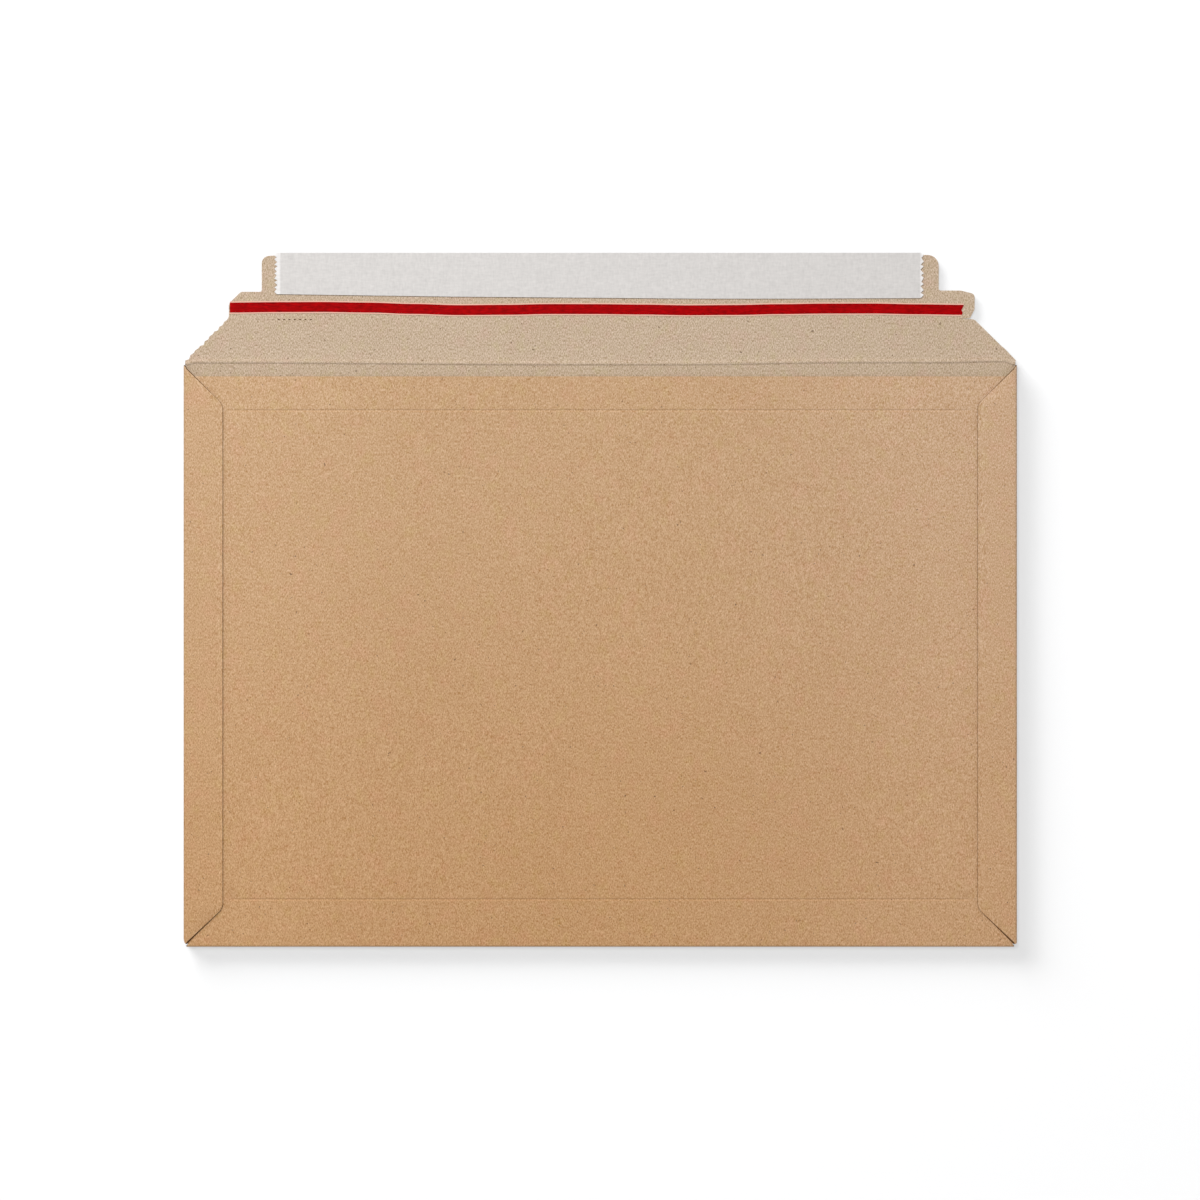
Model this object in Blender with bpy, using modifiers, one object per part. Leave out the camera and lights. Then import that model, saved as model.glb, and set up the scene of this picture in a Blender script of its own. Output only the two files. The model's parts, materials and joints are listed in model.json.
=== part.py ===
"""A flat board mailer for books: a folded and glued pocket with its closing flap lying open.

It lies on its back panel. X runs along its width and Y from the bottom fold to the flap, and
the origin is under the middle of everything. All lengths are in metres.
"""
import math

import bmesh
import bpy
from mathutils import Vector

# Board, films and the air between them
BOARD = 0.0007
POCKET_GAP = 0.0004
LAP_GAP = 0.0003
FILM_GAP = 0.0001
GLUE = 0.0001
ADHESIVE = 0.0001
LINER = 0.0001
TAPE = 0.00008

# Pocket
POCKET_WIDTH = 0.334
POCKET_HEIGHT = 0.234
FRONT_DROP = 0.0053
CORNER_CUT = 0.0003
FOLD_NOTCH = 0.0018
SIDE_FLAP = 0.0158
MITRE_DROP = 0.0022
MITRE_RADIUS = 0.005
CREASE_WIDTH = 0.0012
CREASE_DEPTH = 0.0002
TOP_CREASE_DROP = 0.019
BOTTOM_CREASE_RISE = 0.019

# Fold between the pocket and the closing flap
FOLD_CREASE_WIDTH = 0.0024
FOLD_CREASE_DEPTH = 0.00025
FOLD_CREASE_FLAT = 0.0007
FOLD_SPREAD = 0.0008
FOLD_SPLIT = 0.0003
CLOSING_CLEARANCE = 0.0003

# Closing flap, measured up from the fold
SLOPE_CLEARANCE_LEFT = 0.0011
SLOPE_CLEARANCE_RIGHT = 0.0004
SHOULDER_RISE = 0.0179
NECK_CLEARANCE = 0.0022
NECK_RISE = 0.0292
NECK_CHAMFER = 0.0048
TAB_STEP = 0.0132
TAB_RISE = 0.0435
TAB_RADIUS_LEFT = 0.0032
TAB_RADIUS_RIGHT = 0.0045
INNER_RADIUS = 0.0008
SHOULDER_RADIUS = 0.002
TEAR_TAB_REACH = 0.0012
TEAR_TAB_RADIUS = 0.0033
TEAR_NOTCH_DEPTH = 0.0019
TEAR_SLIT_LENGTH = 0.0041
TEAR_SLIT_WIDTH = 0.0003

# Liner, adhesive and tape on the flap
LINER_OVERHANG = 0.0008
LINER_WIDTH_LEFT = 0.0166
LINER_WIDTH_MIDDLE = 0.018
LINER_WIDTH_RIGHT = 0.0183
LINER_MARGIN_LEFT = 0.0065
LINER_MARGIN_RIGHT = 0.0075
TOOTH_PITCH = 0.0025
TOOTH_DEPTH = 0.0014
ADHESIVE_MARGIN = 0.0018
TAPE_WIDTH = 0.0039
TAPE_DROP = 0.0075
TAPE_DRIFT = (0.0007, 0.0004, 0.0001, -0.0003, -0.0001, -0.0005, 0.0001, 0.0002, -0.0004)
TAPE_INSET = 0.0004
TAPE_SHORT = 0.0031
TAPE_NICK = 0.0009

# Glue seams under the side flaps
GLUE_WIDTH = 0.009
GLUE_END_MARGIN = 0.003

FOLD_STEPS = 10
ARC_STEPS = 6
DRIFT_STEPS = 4

# Heights of the layers
BOTTOM_RADIUS = (2 * BOARD + POCKET_GAP) / 2
FRONT_TOP = 2 * BOTTOM_RADIUS
SIDE_RADIUS = (FRONT_TOP + LAP_GAP + BOARD) / 2
ADHESIVE_TOP = BOARD + FILM_GAP + ADHESIVE
LINER_TOP = ADHESIVE_TOP + FILM_GAP + LINER
HINGE_HEIGHT = (FRONT_TOP + CLOSING_CLEARANCE + LINER_TOP) / 2

# Places in the plan
TOTAL_HEIGHT = POCKET_HEIGHT + TAB_RISE + LINER_OVERHANG
BOTTOM_Y = -TOTAL_HEIGHT / 2
FOLD_Y = BOTTOM_Y + POCKET_HEIGHT
PANEL_HALF = POCKET_WIDTH / 2 - SIDE_RADIUS
PANEL_BOTTOM_Y = BOTTOM_Y + BOTTOM_RADIUS
PANEL_TOP_Y = FOLD_Y - FOLD_CREASE_WIDTH / 2
SIDE_BOTTOM_Y = PANEL_BOTTOM_Y + CORNER_CUT
SIDE_INNER_X = POCKET_WIDTH / 2 - SIDE_FLAP
MITRE_RUN = PANEL_HALF - SIDE_INNER_X
SLOPE_HALF = PANEL_HALF + MITRE_DROP
NECK_HALF = SIDE_INNER_X - NECK_CLEARANCE
TAB_HALF = NECK_HALF - TAB_STEP

KRAFT = (0.58, 0.38, 0.22)
INNER_KRAFT = (0.56, 0.43, 0.31)
LINER_WHITE = (0.72, 0.69, 0.67)
TAPE_RED = (0.42, 0.003, 0.006)
GLUE_CLEAR = (0.72, 0.66, 0.50)
ADHESIVE_CLEAR = (0.80, 0.78, 0.70)


def clear_scene():
    for thing in list(bpy.context.scene.objects):
        bpy.data.objects.remove(thing, do_unlink=True)


def finish_material(name, colour, roughness):
    material = bpy.data.materials.new(name)
    material.use_nodes = True
    shader = material.node_tree.nodes["Principled BSDF"]
    shader.inputs["Base Color"].default_value = (*colour, 1)
    shader.inputs["Roughness"].default_value = roughness
    shader.inputs["Metallic"].default_value = 0
    return material


def add_object(name, data, collection, material):
    thing = bpy.data.objects.new(name, data)
    thing.data.materials.append(material)
    collection.objects.link(thing)
    return thing


def new_vertices(result):
    return [item for item in result if isinstance(item, bmesh.types.BMVert)]


def boundary_edges(bm, test):
    """Open edges whose two ends both pass the test."""
    return [
        edge for edge in bm.edges
        if edge.is_boundary and all(test(vertex.co) for vertex in edge.verts)
    ]


def extend(bm, edges, move, spread=1):
    """Extrudes open edges by a vector, widens them about the middle and returns the new ones."""
    vertices = new_vertices(bmesh.ops.extrude_edge_only(bm, edges=edges)["geom"])
    bmesh.ops.translate(bm, vec=move, verts=vertices)
    bmesh.ops.scale(bm, vec=(spread, 1, 1), verts=vertices)
    chosen = set(vertices)
    return [edge for edge in bm.edges if edge.verts[0] in chosen and edge.verts[1] in chosen]


def fold_over(bm, edges, centre, axis):
    """Rolls open edges half a turn about an axis and returns the last ones."""
    rolled = bmesh.ops.spin(
        bm, geom=edges, cent=centre, axis=axis, angle=math.pi, steps=FOLD_STEPS, use_duplicate=False
    )
    return [item for item in rolled["geom_last"] if isinstance(item, bmesh.types.BMEdge)]


def crease_front(bm, edges):
    """A shallow score across the front panel, as wide as the edges that it starts from."""
    slope = CREASE_WIDTH / 3
    edges = extend(bm, edges, (0, slope, -CREASE_DEPTH))
    edges = extend(bm, edges, (0, CREASE_WIDTH - 2 * slope, 0))
    return extend(bm, edges, (0, slope, CREASE_DEPTH))


def add_fold_crease(bm, edges, direction):
    """Half of the flap's crease: the board rises towards the fold line and ends just before it."""
    rise = FOLD_CREASE_WIDTH / 2 - FOLD_CREASE_FLAT
    half = max(abs(vertex.co.x) for edge in edges for vertex in edge.verts)
    edges = extend(bm, edges, (0, direction * rise, FOLD_CREASE_DEPTH), (half + FOLD_SPREAD) / half)
    extend(bm, edges, (0, direction * (FOLD_CREASE_FLAT - FOLD_SPLIT / 2), 0))


def add_front_panel(bm):
    """The bottom fold, and the front panel with its two capacity creases."""
    edges = boundary_edges(bm, lambda co: abs(co.y - PANEL_BOTTOM_Y) < BOARD / 10)
    edges = fold_over(bm, edges, (0, PANEL_BOTTOM_Y, BOTTOM_RADIUS), (-1, 0, 0))
    front_top_y = FOLD_Y - FRONT_DROP
    lower_y = BOTTOM_Y + BOTTOM_CREASE_RISE - CREASE_WIDTH / 2
    upper_y = FOLD_Y - TOP_CREASE_DROP - CREASE_WIDTH / 2
    edges = extend(bm, edges, (0, lower_y - PANEL_BOTTOM_Y, 0))
    edges = crease_front(bm, edges)
    edges = extend(bm, edges, (0, upper_y - lower_y - CREASE_WIDTH, 0))
    edges = crease_front(bm, edges)
    extend(bm, edges, (0, front_top_y - upper_y - CREASE_WIDTH, 0))


def trim_side_fold(bm, side):
    """The fold's ends: bitten in at the bottom corner, and run into the mitre at the top."""
    middle_y = (SIDE_BOTTOM_Y + PANEL_TOP_Y) / 2
    top_drop = MITRE_DROP - FOLD_CREASE_WIDTH / 2
    for vertex in bm.verts:
        out = side * vertex.co.x - PANEL_HALF
        on_top = vertex.co.z > SIDE_RADIUS and out > -BOARD / 10
        if out < BOARD / 100 and not on_top:
            continue
        turn = math.atan2(max(out, 0), SIDE_RADIUS - vertex.co.z)
        if vertex.co.y < middle_y:
            vertex.co.y += FOLD_NOTCH * math.sin(turn)
        else:
            vertex.co.y -= top_drop * turn / math.pi


def add_side_flap(bm, side):
    """A side fold, and the flap with mitred ends that lies over the front panel."""
    edges = boundary_edges(
        bm, lambda co: abs(co.x - side * PANEL_HALF) < BOARD / 10 and co.z < BOARD / 10
        and SIDE_BOTTOM_Y - BOARD / 10 < co.y < PANEL_TOP_Y + BOARD / 10
    )
    edges = fold_over(bm, edges, (side * PANEL_HALF, 0, SIDE_RADIUS), (0, -side, 0))
    trim_side_fold(bm, side)
    vertices = new_vertices(bmesh.ops.extrude_edge_only(bm, edges=edges)["geom"])
    bmesh.ops.translate(bm, vec=(-side * MITRE_RUN, 0, 0), verts=vertices)
    middle_y = sum(vertex.co.y for vertex in vertices) / len(vertices)
    for vertex in vertices:
        vertex.co.y += MITRE_RUN if vertex.co.y < middle_y else -MITRE_RUN
    bmesh.ops.bevel(
        bm, geom=vertices, offset=MITRE_RADIUS * math.tan(math.pi / 8), offset_type="OFFSET",
        segments=ARC_STEPS, profile=0.5, affect="VERTICES",
    )


def finish_sheet(bm, name, collection, material):
    """Gives an outer skin its board thickness, on the side away from its normals."""
    bmesh.ops.recalc_face_normals(bm, faces=bm.faces)
    lowest = min(bm.faces, key=lambda face: face.calc_center_median().z)
    if lowest.normal.z > 0:
        bmesh.ops.reverse_faces(bm, faces=bm.faces)
    mesh = bpy.data.meshes.new(name)
    bm.to_mesh(mesh)
    bm.free()
    sheet = add_object(name, mesh, collection, material)
    wall = sheet.modifiers.new("board", "SOLIDIFY")
    wall.thickness = BOARD
    wall.offset = -1
    wall.use_even_offset = True
    mesh.shade_smooth()
    mesh.set_sharp_from_angle(angle=math.radians(30))
    return sheet


def build_pocket(collection, material):
    bm = bmesh.new()
    bmesh.ops.create_grid(bm, x_segments=1, y_segments=1, size=0.5)
    length = PANEL_TOP_Y - PANEL_BOTTOM_Y
    bmesh.ops.scale(bm, vec=(2 * PANEL_HALF, length, 1), verts=bm.verts)
    bmesh.ops.translate(bm, vec=(0, PANEL_BOTTOM_Y + length / 2, 0), verts=bm.verts)
    bottom = [vertex for vertex in bm.verts if vertex.co.y < PANEL_BOTTOM_Y + length / 2]
    bmesh.ops.bevel(bm, geom=bottom, offset=CORNER_CUT, segments=1, affect="VERTICES")
    add_front_panel(bm)
    for side in (-1, 1):
        add_side_flap(bm, side)
    top = boundary_edges(
        bm, lambda co: abs(co.y - PANEL_TOP_Y) < BOARD / 10 and co.z < BOARD / 10
    )
    add_fold_crease(bm, top, 1)
    return finish_sheet(bm, "mailer_pocket", collection, material)


def rounded(corners):
    """A closed outline whose corners, each an x, a y and a radius, are rounded by arcs."""
    points = []
    for index, (x, y, radius) in enumerate(corners):
        corner = Vector((x, y))
        if radius == 0:
            points.append(corner)
            continue
        before = Vector(corners[index - 1][:2]) - corner
        after = Vector(corners[(index + 1) % len(corners)][:2]) - corner
        half = before.angle(after) / 2
        reach = min(radius / math.tan(half), before.length / 2, after.length / 2)
        bisector = (before.normalized() + after.normalized()).normalized()
        centre = corner + bisector * reach / math.cos(half)
        start = corner + before.normalized() * reach - centre
        turn = math.copysign(math.pi - 2 * half, before.cross(after))
        for step in range(ARC_STEPS + 1):
            angle = -turn * step / ARC_STEPS
            across = Vector((-start.y, start.x))
            points.append(centre + start * math.cos(angle) + across * math.sin(angle))
    return points


def outline_curve(name, points, thickness):
    curve = bpy.data.curves.new(name, "CURVE")
    curve.dimensions = "2D"
    curve.fill_mode = "BOTH"
    curve.extrude = thickness / 2
    spline = curve.splines.new("POLY")
    spline.points.add(len(points) - 1)
    for point, place in zip(spline.points, points):
        point.co = (place.x, place.y, 0, 1)
    spline.use_cyclic_u = True
    return curve


def film(name, points, bottom, thickness, collection, material):
    """A thin flat piece, filled from its outline, whose underside is at the given height."""
    piece = add_object(name, outline_curve(name, points, thickness), collection, material)
    piece.location.z = bottom + thickness / 2
    return piece


def flap_corners():
    """The flap's outline from the left end of its base, clockwise, as heights above the fold."""
    base = FOLD_CREASE_WIDTH / 2
    slope_left = SLOPE_HALF - SLOPE_CLEARANCE_LEFT
    slope_right = SLOPE_HALF - SLOPE_CLEARANCE_RIGHT
    tear_x = NECK_HALF + TEAR_TAB_REACH
    slope_end = slope_right - SHOULDER_RISE
    notch_x = tear_x - TEAR_NOTCH_DEPTH
    slit_y = SHOULDER_RISE
    return [
        (base - slope_left, base, 0),
        (-NECK_HALF, slope_left - NECK_HALF, SHOULDER_RADIUS),
        (-NECK_HALF, NECK_RISE - NECK_CHAMFER, SHOULDER_RADIUS),
        (NECK_CHAMFER - NECK_HALF, NECK_RISE, SHOULDER_RADIUS),
        (-TAB_HALF, NECK_RISE, INNER_RADIUS),
        (-TAB_HALF, TAB_RISE, TAB_RADIUS_LEFT),
        (TAB_HALF, TAB_RISE, TAB_RADIUS_RIGHT),
        (TAB_HALF, NECK_RISE, INNER_RADIUS),
        (tear_x, NECK_RISE, TEAR_TAB_RADIUS),
        (tear_x, slit_y + 2 * TEAR_NOTCH_DEPTH, SHOULDER_RADIUS),
        (notch_x, slit_y + TEAR_SLIT_WIDTH / 2, 0),
        (notch_x - TEAR_SLIT_LENGTH, slit_y, 0),
        (notch_x, slit_y - TEAR_SLIT_WIDTH / 2, 0),
        (slope_end, SHOULDER_RISE - TEAR_SLIT_WIDTH, SHOULDER_RADIUS),
        (slope_right - base, base, 0),
    ]


def build_flap(collection, material, hinge):
    """The closing flap, whose origin is on its fold axis."""
    points = rounded(flap_corners())
    guide = bpy.data.objects.new("flap_outline", outline_curve("flap_outline", points, 0))
    collection.objects.link(guide)
    graph = bpy.context.evaluated_depsgraph_get()
    flat = bpy.data.meshes.new_from_object(guide.evaluated_get(graph))
    bm = bmesh.new()
    bm.from_mesh(flat)
    bpy.data.meshes.remove(flat)
    bpy.data.objects.remove(guide, do_unlink=True)
    bmesh.ops.remove_doubles(bm, verts=bm.verts, dist=BOARD / 100)
    base = FOLD_CREASE_WIDTH / 2
    edges = boundary_edges(bm, lambda co: abs(co.y - base) < BOARD / 100)
    add_fold_crease(bm, edges, -1)
    bmesh.ops.translate(bm, vec=(0, 0, -HINGE_HEIGHT), verts=bm.verts)
    flap = finish_sheet(bm, "closing_flap", collection, material)
    flap.parent = hinge
    return flap


def liner_outline():
    """The release liner: pinked ends, a level top edge and a lower edge that drifts down."""
    top = TAB_RISE + LINER_OVERHANG
    points = []
    ends = ((-1, LINER_WIDTH_LEFT, LINER_MARGIN_LEFT), (1, LINER_WIDTH_RIGHT, LINER_MARGIN_RIGHT))
    for side, width, margin in ends:
        half = TAB_HALF - margin
        teeth = round(width / TOOTH_PITCH)
        heights = [top - width + width * step / (2 * teeth) for step in range(2 * teeth + 1)]
        depths = [TOOTH_DEPTH * (step % 2) for step in range(2 * teeth + 1)]
        end = [Vector((side * (half + depth), height)) for depth, height in zip(depths, heights)]
        points += end if side < 0 else end[::-1]
    return points + [Vector((-TAB_HALF / 3, top - LINER_WIDTH_MIDDLE))]


def adhesive_outline():
    """The adhesive band stays inside the liner and the tab on every side."""
    left = LINER_MARGIN_LEFT + ADHESIVE_MARGIN - TAB_HALF
    right = TAB_HALF - LINER_MARGIN_RIGHT - ADHESIVE_MARGIN
    top = TAB_RISE - ADHESIVE_MARGIN
    low = TAB_RISE + LINER_OVERHANG - LINER_WIDTH_LEFT + ADHESIVE_MARGIN
    return [Vector(place) for place in ((left, low), (left, top), (right, top), (right, low))]


def tape_outline():
    """The tear tape: a ribbon that drifts a little up and down, nicked at its right end."""
    start = TAPE_INSET - NECK_HALF
    end = NECK_HALF - TAPE_SHORT
    middle = NECK_RISE - TAPE_DROP
    spans = len(TAPE_DRIFT) - 1
    upper = []
    lower = []
    for step in range(spans * DRIFT_STEPS + 1):
        x = start + (end - start) * step / (spans * DRIFT_STEPS)
        span = min(step // DRIFT_STEPS, spans - 1)
        share = (1 - math.cos(math.pi * (step / DRIFT_STEPS - span))) / 2
        drift = TAPE_DRIFT[span] * (1 - share) + TAPE_DRIFT[span + 1] * share
        upper.append(Vector((x, middle + drift + TAPE_WIDTH / 2)))
        lower.append(Vector((x, middle + drift - TAPE_WIDTH / 2)))
    nick = Vector((end - TAPE_NICK, middle + TAPE_DRIFT[-1]))
    return upper + [nick] + lower[::-1]


def add_film_on_flap(name, points, bottom, thickness, collection, material, hinge):
    piece = film(name, points, bottom - HINGE_HEIGHT, thickness, collection, material)
    piece.parent = hinge
    return piece


def add_glue_seam(name, side, collection, material):
    """A bead of glue that holds a side flap down on the front panel."""
    outer = POCKET_WIDTH / 2 - SIDE_FLAP / 2 + GLUE_WIDTH / 2 - SIDE_RADIUS / 2
    inner = outer - GLUE_WIDTH
    low = BOTTOM_Y + MITRE_RUN + GLUE_END_MARGIN
    high = FOLD_Y - MITRE_DROP - MITRE_RUN - GLUE_END_MARGIN
    corners = [(side * x, y, GLUE_WIDTH / 4) for x, y in
               ((inner, low), (inner, high), (outer, high), (outer, low))]
    bottom = FRONT_TOP + (LAP_GAP - GLUE) / 2
    return film(name, rounded(corners), bottom, GLUE, collection, material)


def main():
    clear_scene()
    collection = bpy.data.collections.new("book_mailer")
    bpy.context.scene.collection.children.link(collection)
    kraft = finish_material("kraft_board", KRAFT, 0.85)
    inner_kraft = finish_material("inner_board", INNER_KRAFT, 0.9)
    paper = finish_material("liner_paper", LINER_WHITE, 0.55)
    red = finish_material("tape_film", TAPE_RED, 0.45)
    glue = finish_material("seam_glue", GLUE_CLEAR, 0.3)
    adhesive = finish_material("flap_adhesive", ADHESIVE_CLEAR, 0.25)

    hinge = bpy.data.objects.new("flap_hinge", None)
    hinge.location = (0, FOLD_Y, HINGE_HEIGHT)
    collection.objects.link(hinge)

    build_pocket(collection, kraft)
    build_flap(collection, inner_kraft, hinge)
    add_film_on_flap(
        "adhesive_strip", adhesive_outline(), BOARD + FILM_GAP, ADHESIVE, collection, adhesive, hinge
    )
    add_film_on_flap(
        "release_liner", liner_outline(), ADHESIVE_TOP + FILM_GAP, LINER, collection, paper, hinge
    )
    add_film_on_flap("tear_tape", tape_outline(), BOARD + FILM_GAP, TAPE, collection, red, hinge)
    add_glue_seam("left_glue_seam", -1, collection, glue)
    add_glue_seam("right_glue_seam", 1, collection, glue)


main()
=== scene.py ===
"""The looks of a flat board mailer for books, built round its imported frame.

One blank of solid board is folded into a pocket and runs on as the closing flap. A release liner
and a tear tape lie on the flap. X runs along the fold line, Y from the bottom fold to the flap and
Z up out of the front panel. All lengths are in metres.
"""

import json
import math
from types import SimpleNamespace

import bmesh
import bpy
from bpy.props import FloatProperty, FloatVectorProperty, IntProperty, PointerProperty
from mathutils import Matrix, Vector


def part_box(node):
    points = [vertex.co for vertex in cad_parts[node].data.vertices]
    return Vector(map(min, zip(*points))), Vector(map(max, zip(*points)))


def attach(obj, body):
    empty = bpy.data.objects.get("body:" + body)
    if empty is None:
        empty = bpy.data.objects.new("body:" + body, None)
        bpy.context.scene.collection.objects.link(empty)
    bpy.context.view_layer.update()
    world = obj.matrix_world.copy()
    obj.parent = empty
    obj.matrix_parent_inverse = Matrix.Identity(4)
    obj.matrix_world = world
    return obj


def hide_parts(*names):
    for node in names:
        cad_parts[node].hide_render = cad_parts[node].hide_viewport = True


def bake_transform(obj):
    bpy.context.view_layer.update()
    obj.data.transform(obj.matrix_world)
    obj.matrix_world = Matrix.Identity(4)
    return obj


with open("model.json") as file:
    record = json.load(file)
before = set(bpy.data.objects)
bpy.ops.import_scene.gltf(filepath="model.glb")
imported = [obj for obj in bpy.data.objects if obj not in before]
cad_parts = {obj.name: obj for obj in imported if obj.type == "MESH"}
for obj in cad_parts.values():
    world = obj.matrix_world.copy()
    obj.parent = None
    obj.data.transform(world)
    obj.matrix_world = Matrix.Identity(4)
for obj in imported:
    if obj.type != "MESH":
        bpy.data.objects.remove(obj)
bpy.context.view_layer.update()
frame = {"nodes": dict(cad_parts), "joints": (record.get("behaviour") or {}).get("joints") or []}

bl_info = {
    "name": "Board Book Mailer",
    "version": (1, 0, 0),
    "blender": (4, 5, 0),
    "location": "3D View > Sidebar > Mailer",
    "description": "Folds a flat board mailer for books, with its liner and tear tape",
    "category": "Mesh",
}

POCKET_LOW, POCKET_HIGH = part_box("mailer_pocket")
LINER_LOW, LINER_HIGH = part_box("release_liner")
TAPE_LOW, TAPE_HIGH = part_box("tear_tape")
FOLD_Y = frame["joints"][0]["pos_m"][1]

# How far the tape has wandered up or down, at even steps along it
TAPE_DRIFT = (
    0.00063, 0.00081, 0.00088, 0.00064, 0.00009, -0.00039, -0.00027, 0.00005, 0.00003,
    -0.00015, -0.00044, -0.00034, 0.00001, 0.00024, 0.00026, -0.00006, -0.00027,
)

# How far back the tape's torn right end lies, at even steps up across it
TAPE_END = (0.0011, 0.0005, 0.001, 0.0003, 0)

# Where the liner's lower edge bends: the place along it and the liner's width there
LINER_BENDS = ((0.072, 0.01843), (0.038, 0.01842), (0.0, 0.01808), (-0.06, 0.0176))

# The grazing lights: turns from +Y towards -X and width, in degrees, and rise over run
FLOOR_TURNS = (19, 28, 37, 46, 55)
GRAZE_WIDTH = 12
GRAZE = 0.138

# Where the soft lamp hangs, and the place in the plane that the camera looks at
KEY_PLACE = (-0.35, 0.8, 1.2)
VIEW_CENTRE = (-0.0001, -0.0001)

# How strongly the grain shows in red, green and blue, and the level at which a speck starts
KRAFT_GRAIN = ((0.325, 0.475, 0.7), 0.75)
INNER_GRAIN = ((0.43, 0.52, 0.66), 0.735)

# Material slots of the board, after its outer and inner faces: the cut edges, and the dark cut
# material that is painted shade along the side flaps' cut edges and in the nicks
CUT, SHADED_CUT = 2, 3

# Steps round a fold and a rounded corner, and rows of points across a crease and the bead
FOLD_STEPS = 14
ARC_STEPS = 8
CREASE_ROWS = 8
BEAD_ROWS = 20

# How many nicks at the left end are too shallow to get painted shade
PALE_NICKS = 4

NEAR = 1e-5
TINY = 1e-6


def length(name, default, description):
    """A length that can be set, in metres."""
    return FloatProperty(
        name=name, description=description, default=default, min=0, precision=5,
        subtype="DISTANCE", unit="LENGTH",
    )


def colour(name, default, description):
    """A linear colour that can be set."""
    return FloatVectorProperty(
        name=name, description=description, default=default, min=0, max=1, size=3, subtype="COLOR",
    )


def amount(name, default, description):
    """A plain number that can be set."""
    return FloatProperty(name=name, description=description, default=default, min=0)


class PocketSizes(bpy.types.PropertyGroup):
    """Sizes of the folded pocket"""

    board: length("Board", 0.0007, "Thickness of the solid board")
    air: length("Air", 0.0004, "Room between the two panels of the empty pocket")
    mouth_drop: length("Mouth Drop", 0.0053, "From the fold line down to the front panel's edge")
    side_flap: length("Side Flap", 0.0158, "Width of each side flap, with its fold")
    corner_cut: length("Corner Cut", 0.0003, "Clearance between the folds at a bottom corner")
    left_notch: length("Left Notch", 0.0024, "Bite in the lower end of the left fold")
    right_notch: length("Right Notch", 0.0006, "Bite in the lower end of the right fold")
    fold_flare: length("Fold Flare", 0.0007, "How far the bottom fold widens at its ends")
    cut_lean: length("Cut Lean", 0.00005, "Slant of the side flaps' cut edges")
    top_lean: length("Top Lean", 0.00025, "Further slant at the top corners")
    bottom_lean: length("Bottom Lean", 0.0007, "Further slant at the bottom corners")
    top_reach: length("Top Reach", 0.005, "Length of the further slant at the top")
    bottom_reach: length("Bottom Reach", 0.0085, "Length of the further slant at the bottom")
    droop: length("Droop", 0.00026, "How far the side flaps' edges hang down on the front")
    droop_reach: length("Droop Reach", 0.003, "Width of the band that hangs down")
    mitre_drop: length("Mitre Drop", 0.0022, "From the fold line down to a side flap's corner")
    mitre_radius: length("Mitre Radius", 0.005, "Rounding of a side flap's inner corners")
    top_crease: length("Top Crease", 0.019, "From the fold line down to the upper crease")
    bottom_crease: length("Bottom Crease", 0.019, "From the bottom fold up to the lower crease")
    crease_width: length("Crease Width", 0.0012, "Width of the creases across the front")
    crease_depth: length("Crease Depth", 0.00022, "Depth of the creases across the front")
    crease_end: length("Crease End", 0.0026, "Uncreased stretch beside each side flap")
    softening: length("Softening", 0.00006, "Rounding of the cut edges")
    cell: length("Cell", 0.008, "Spacing of the rows of points that let the board sway")
    sway: length("Sway", 0.00006, "How far the board is out of true")


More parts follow.
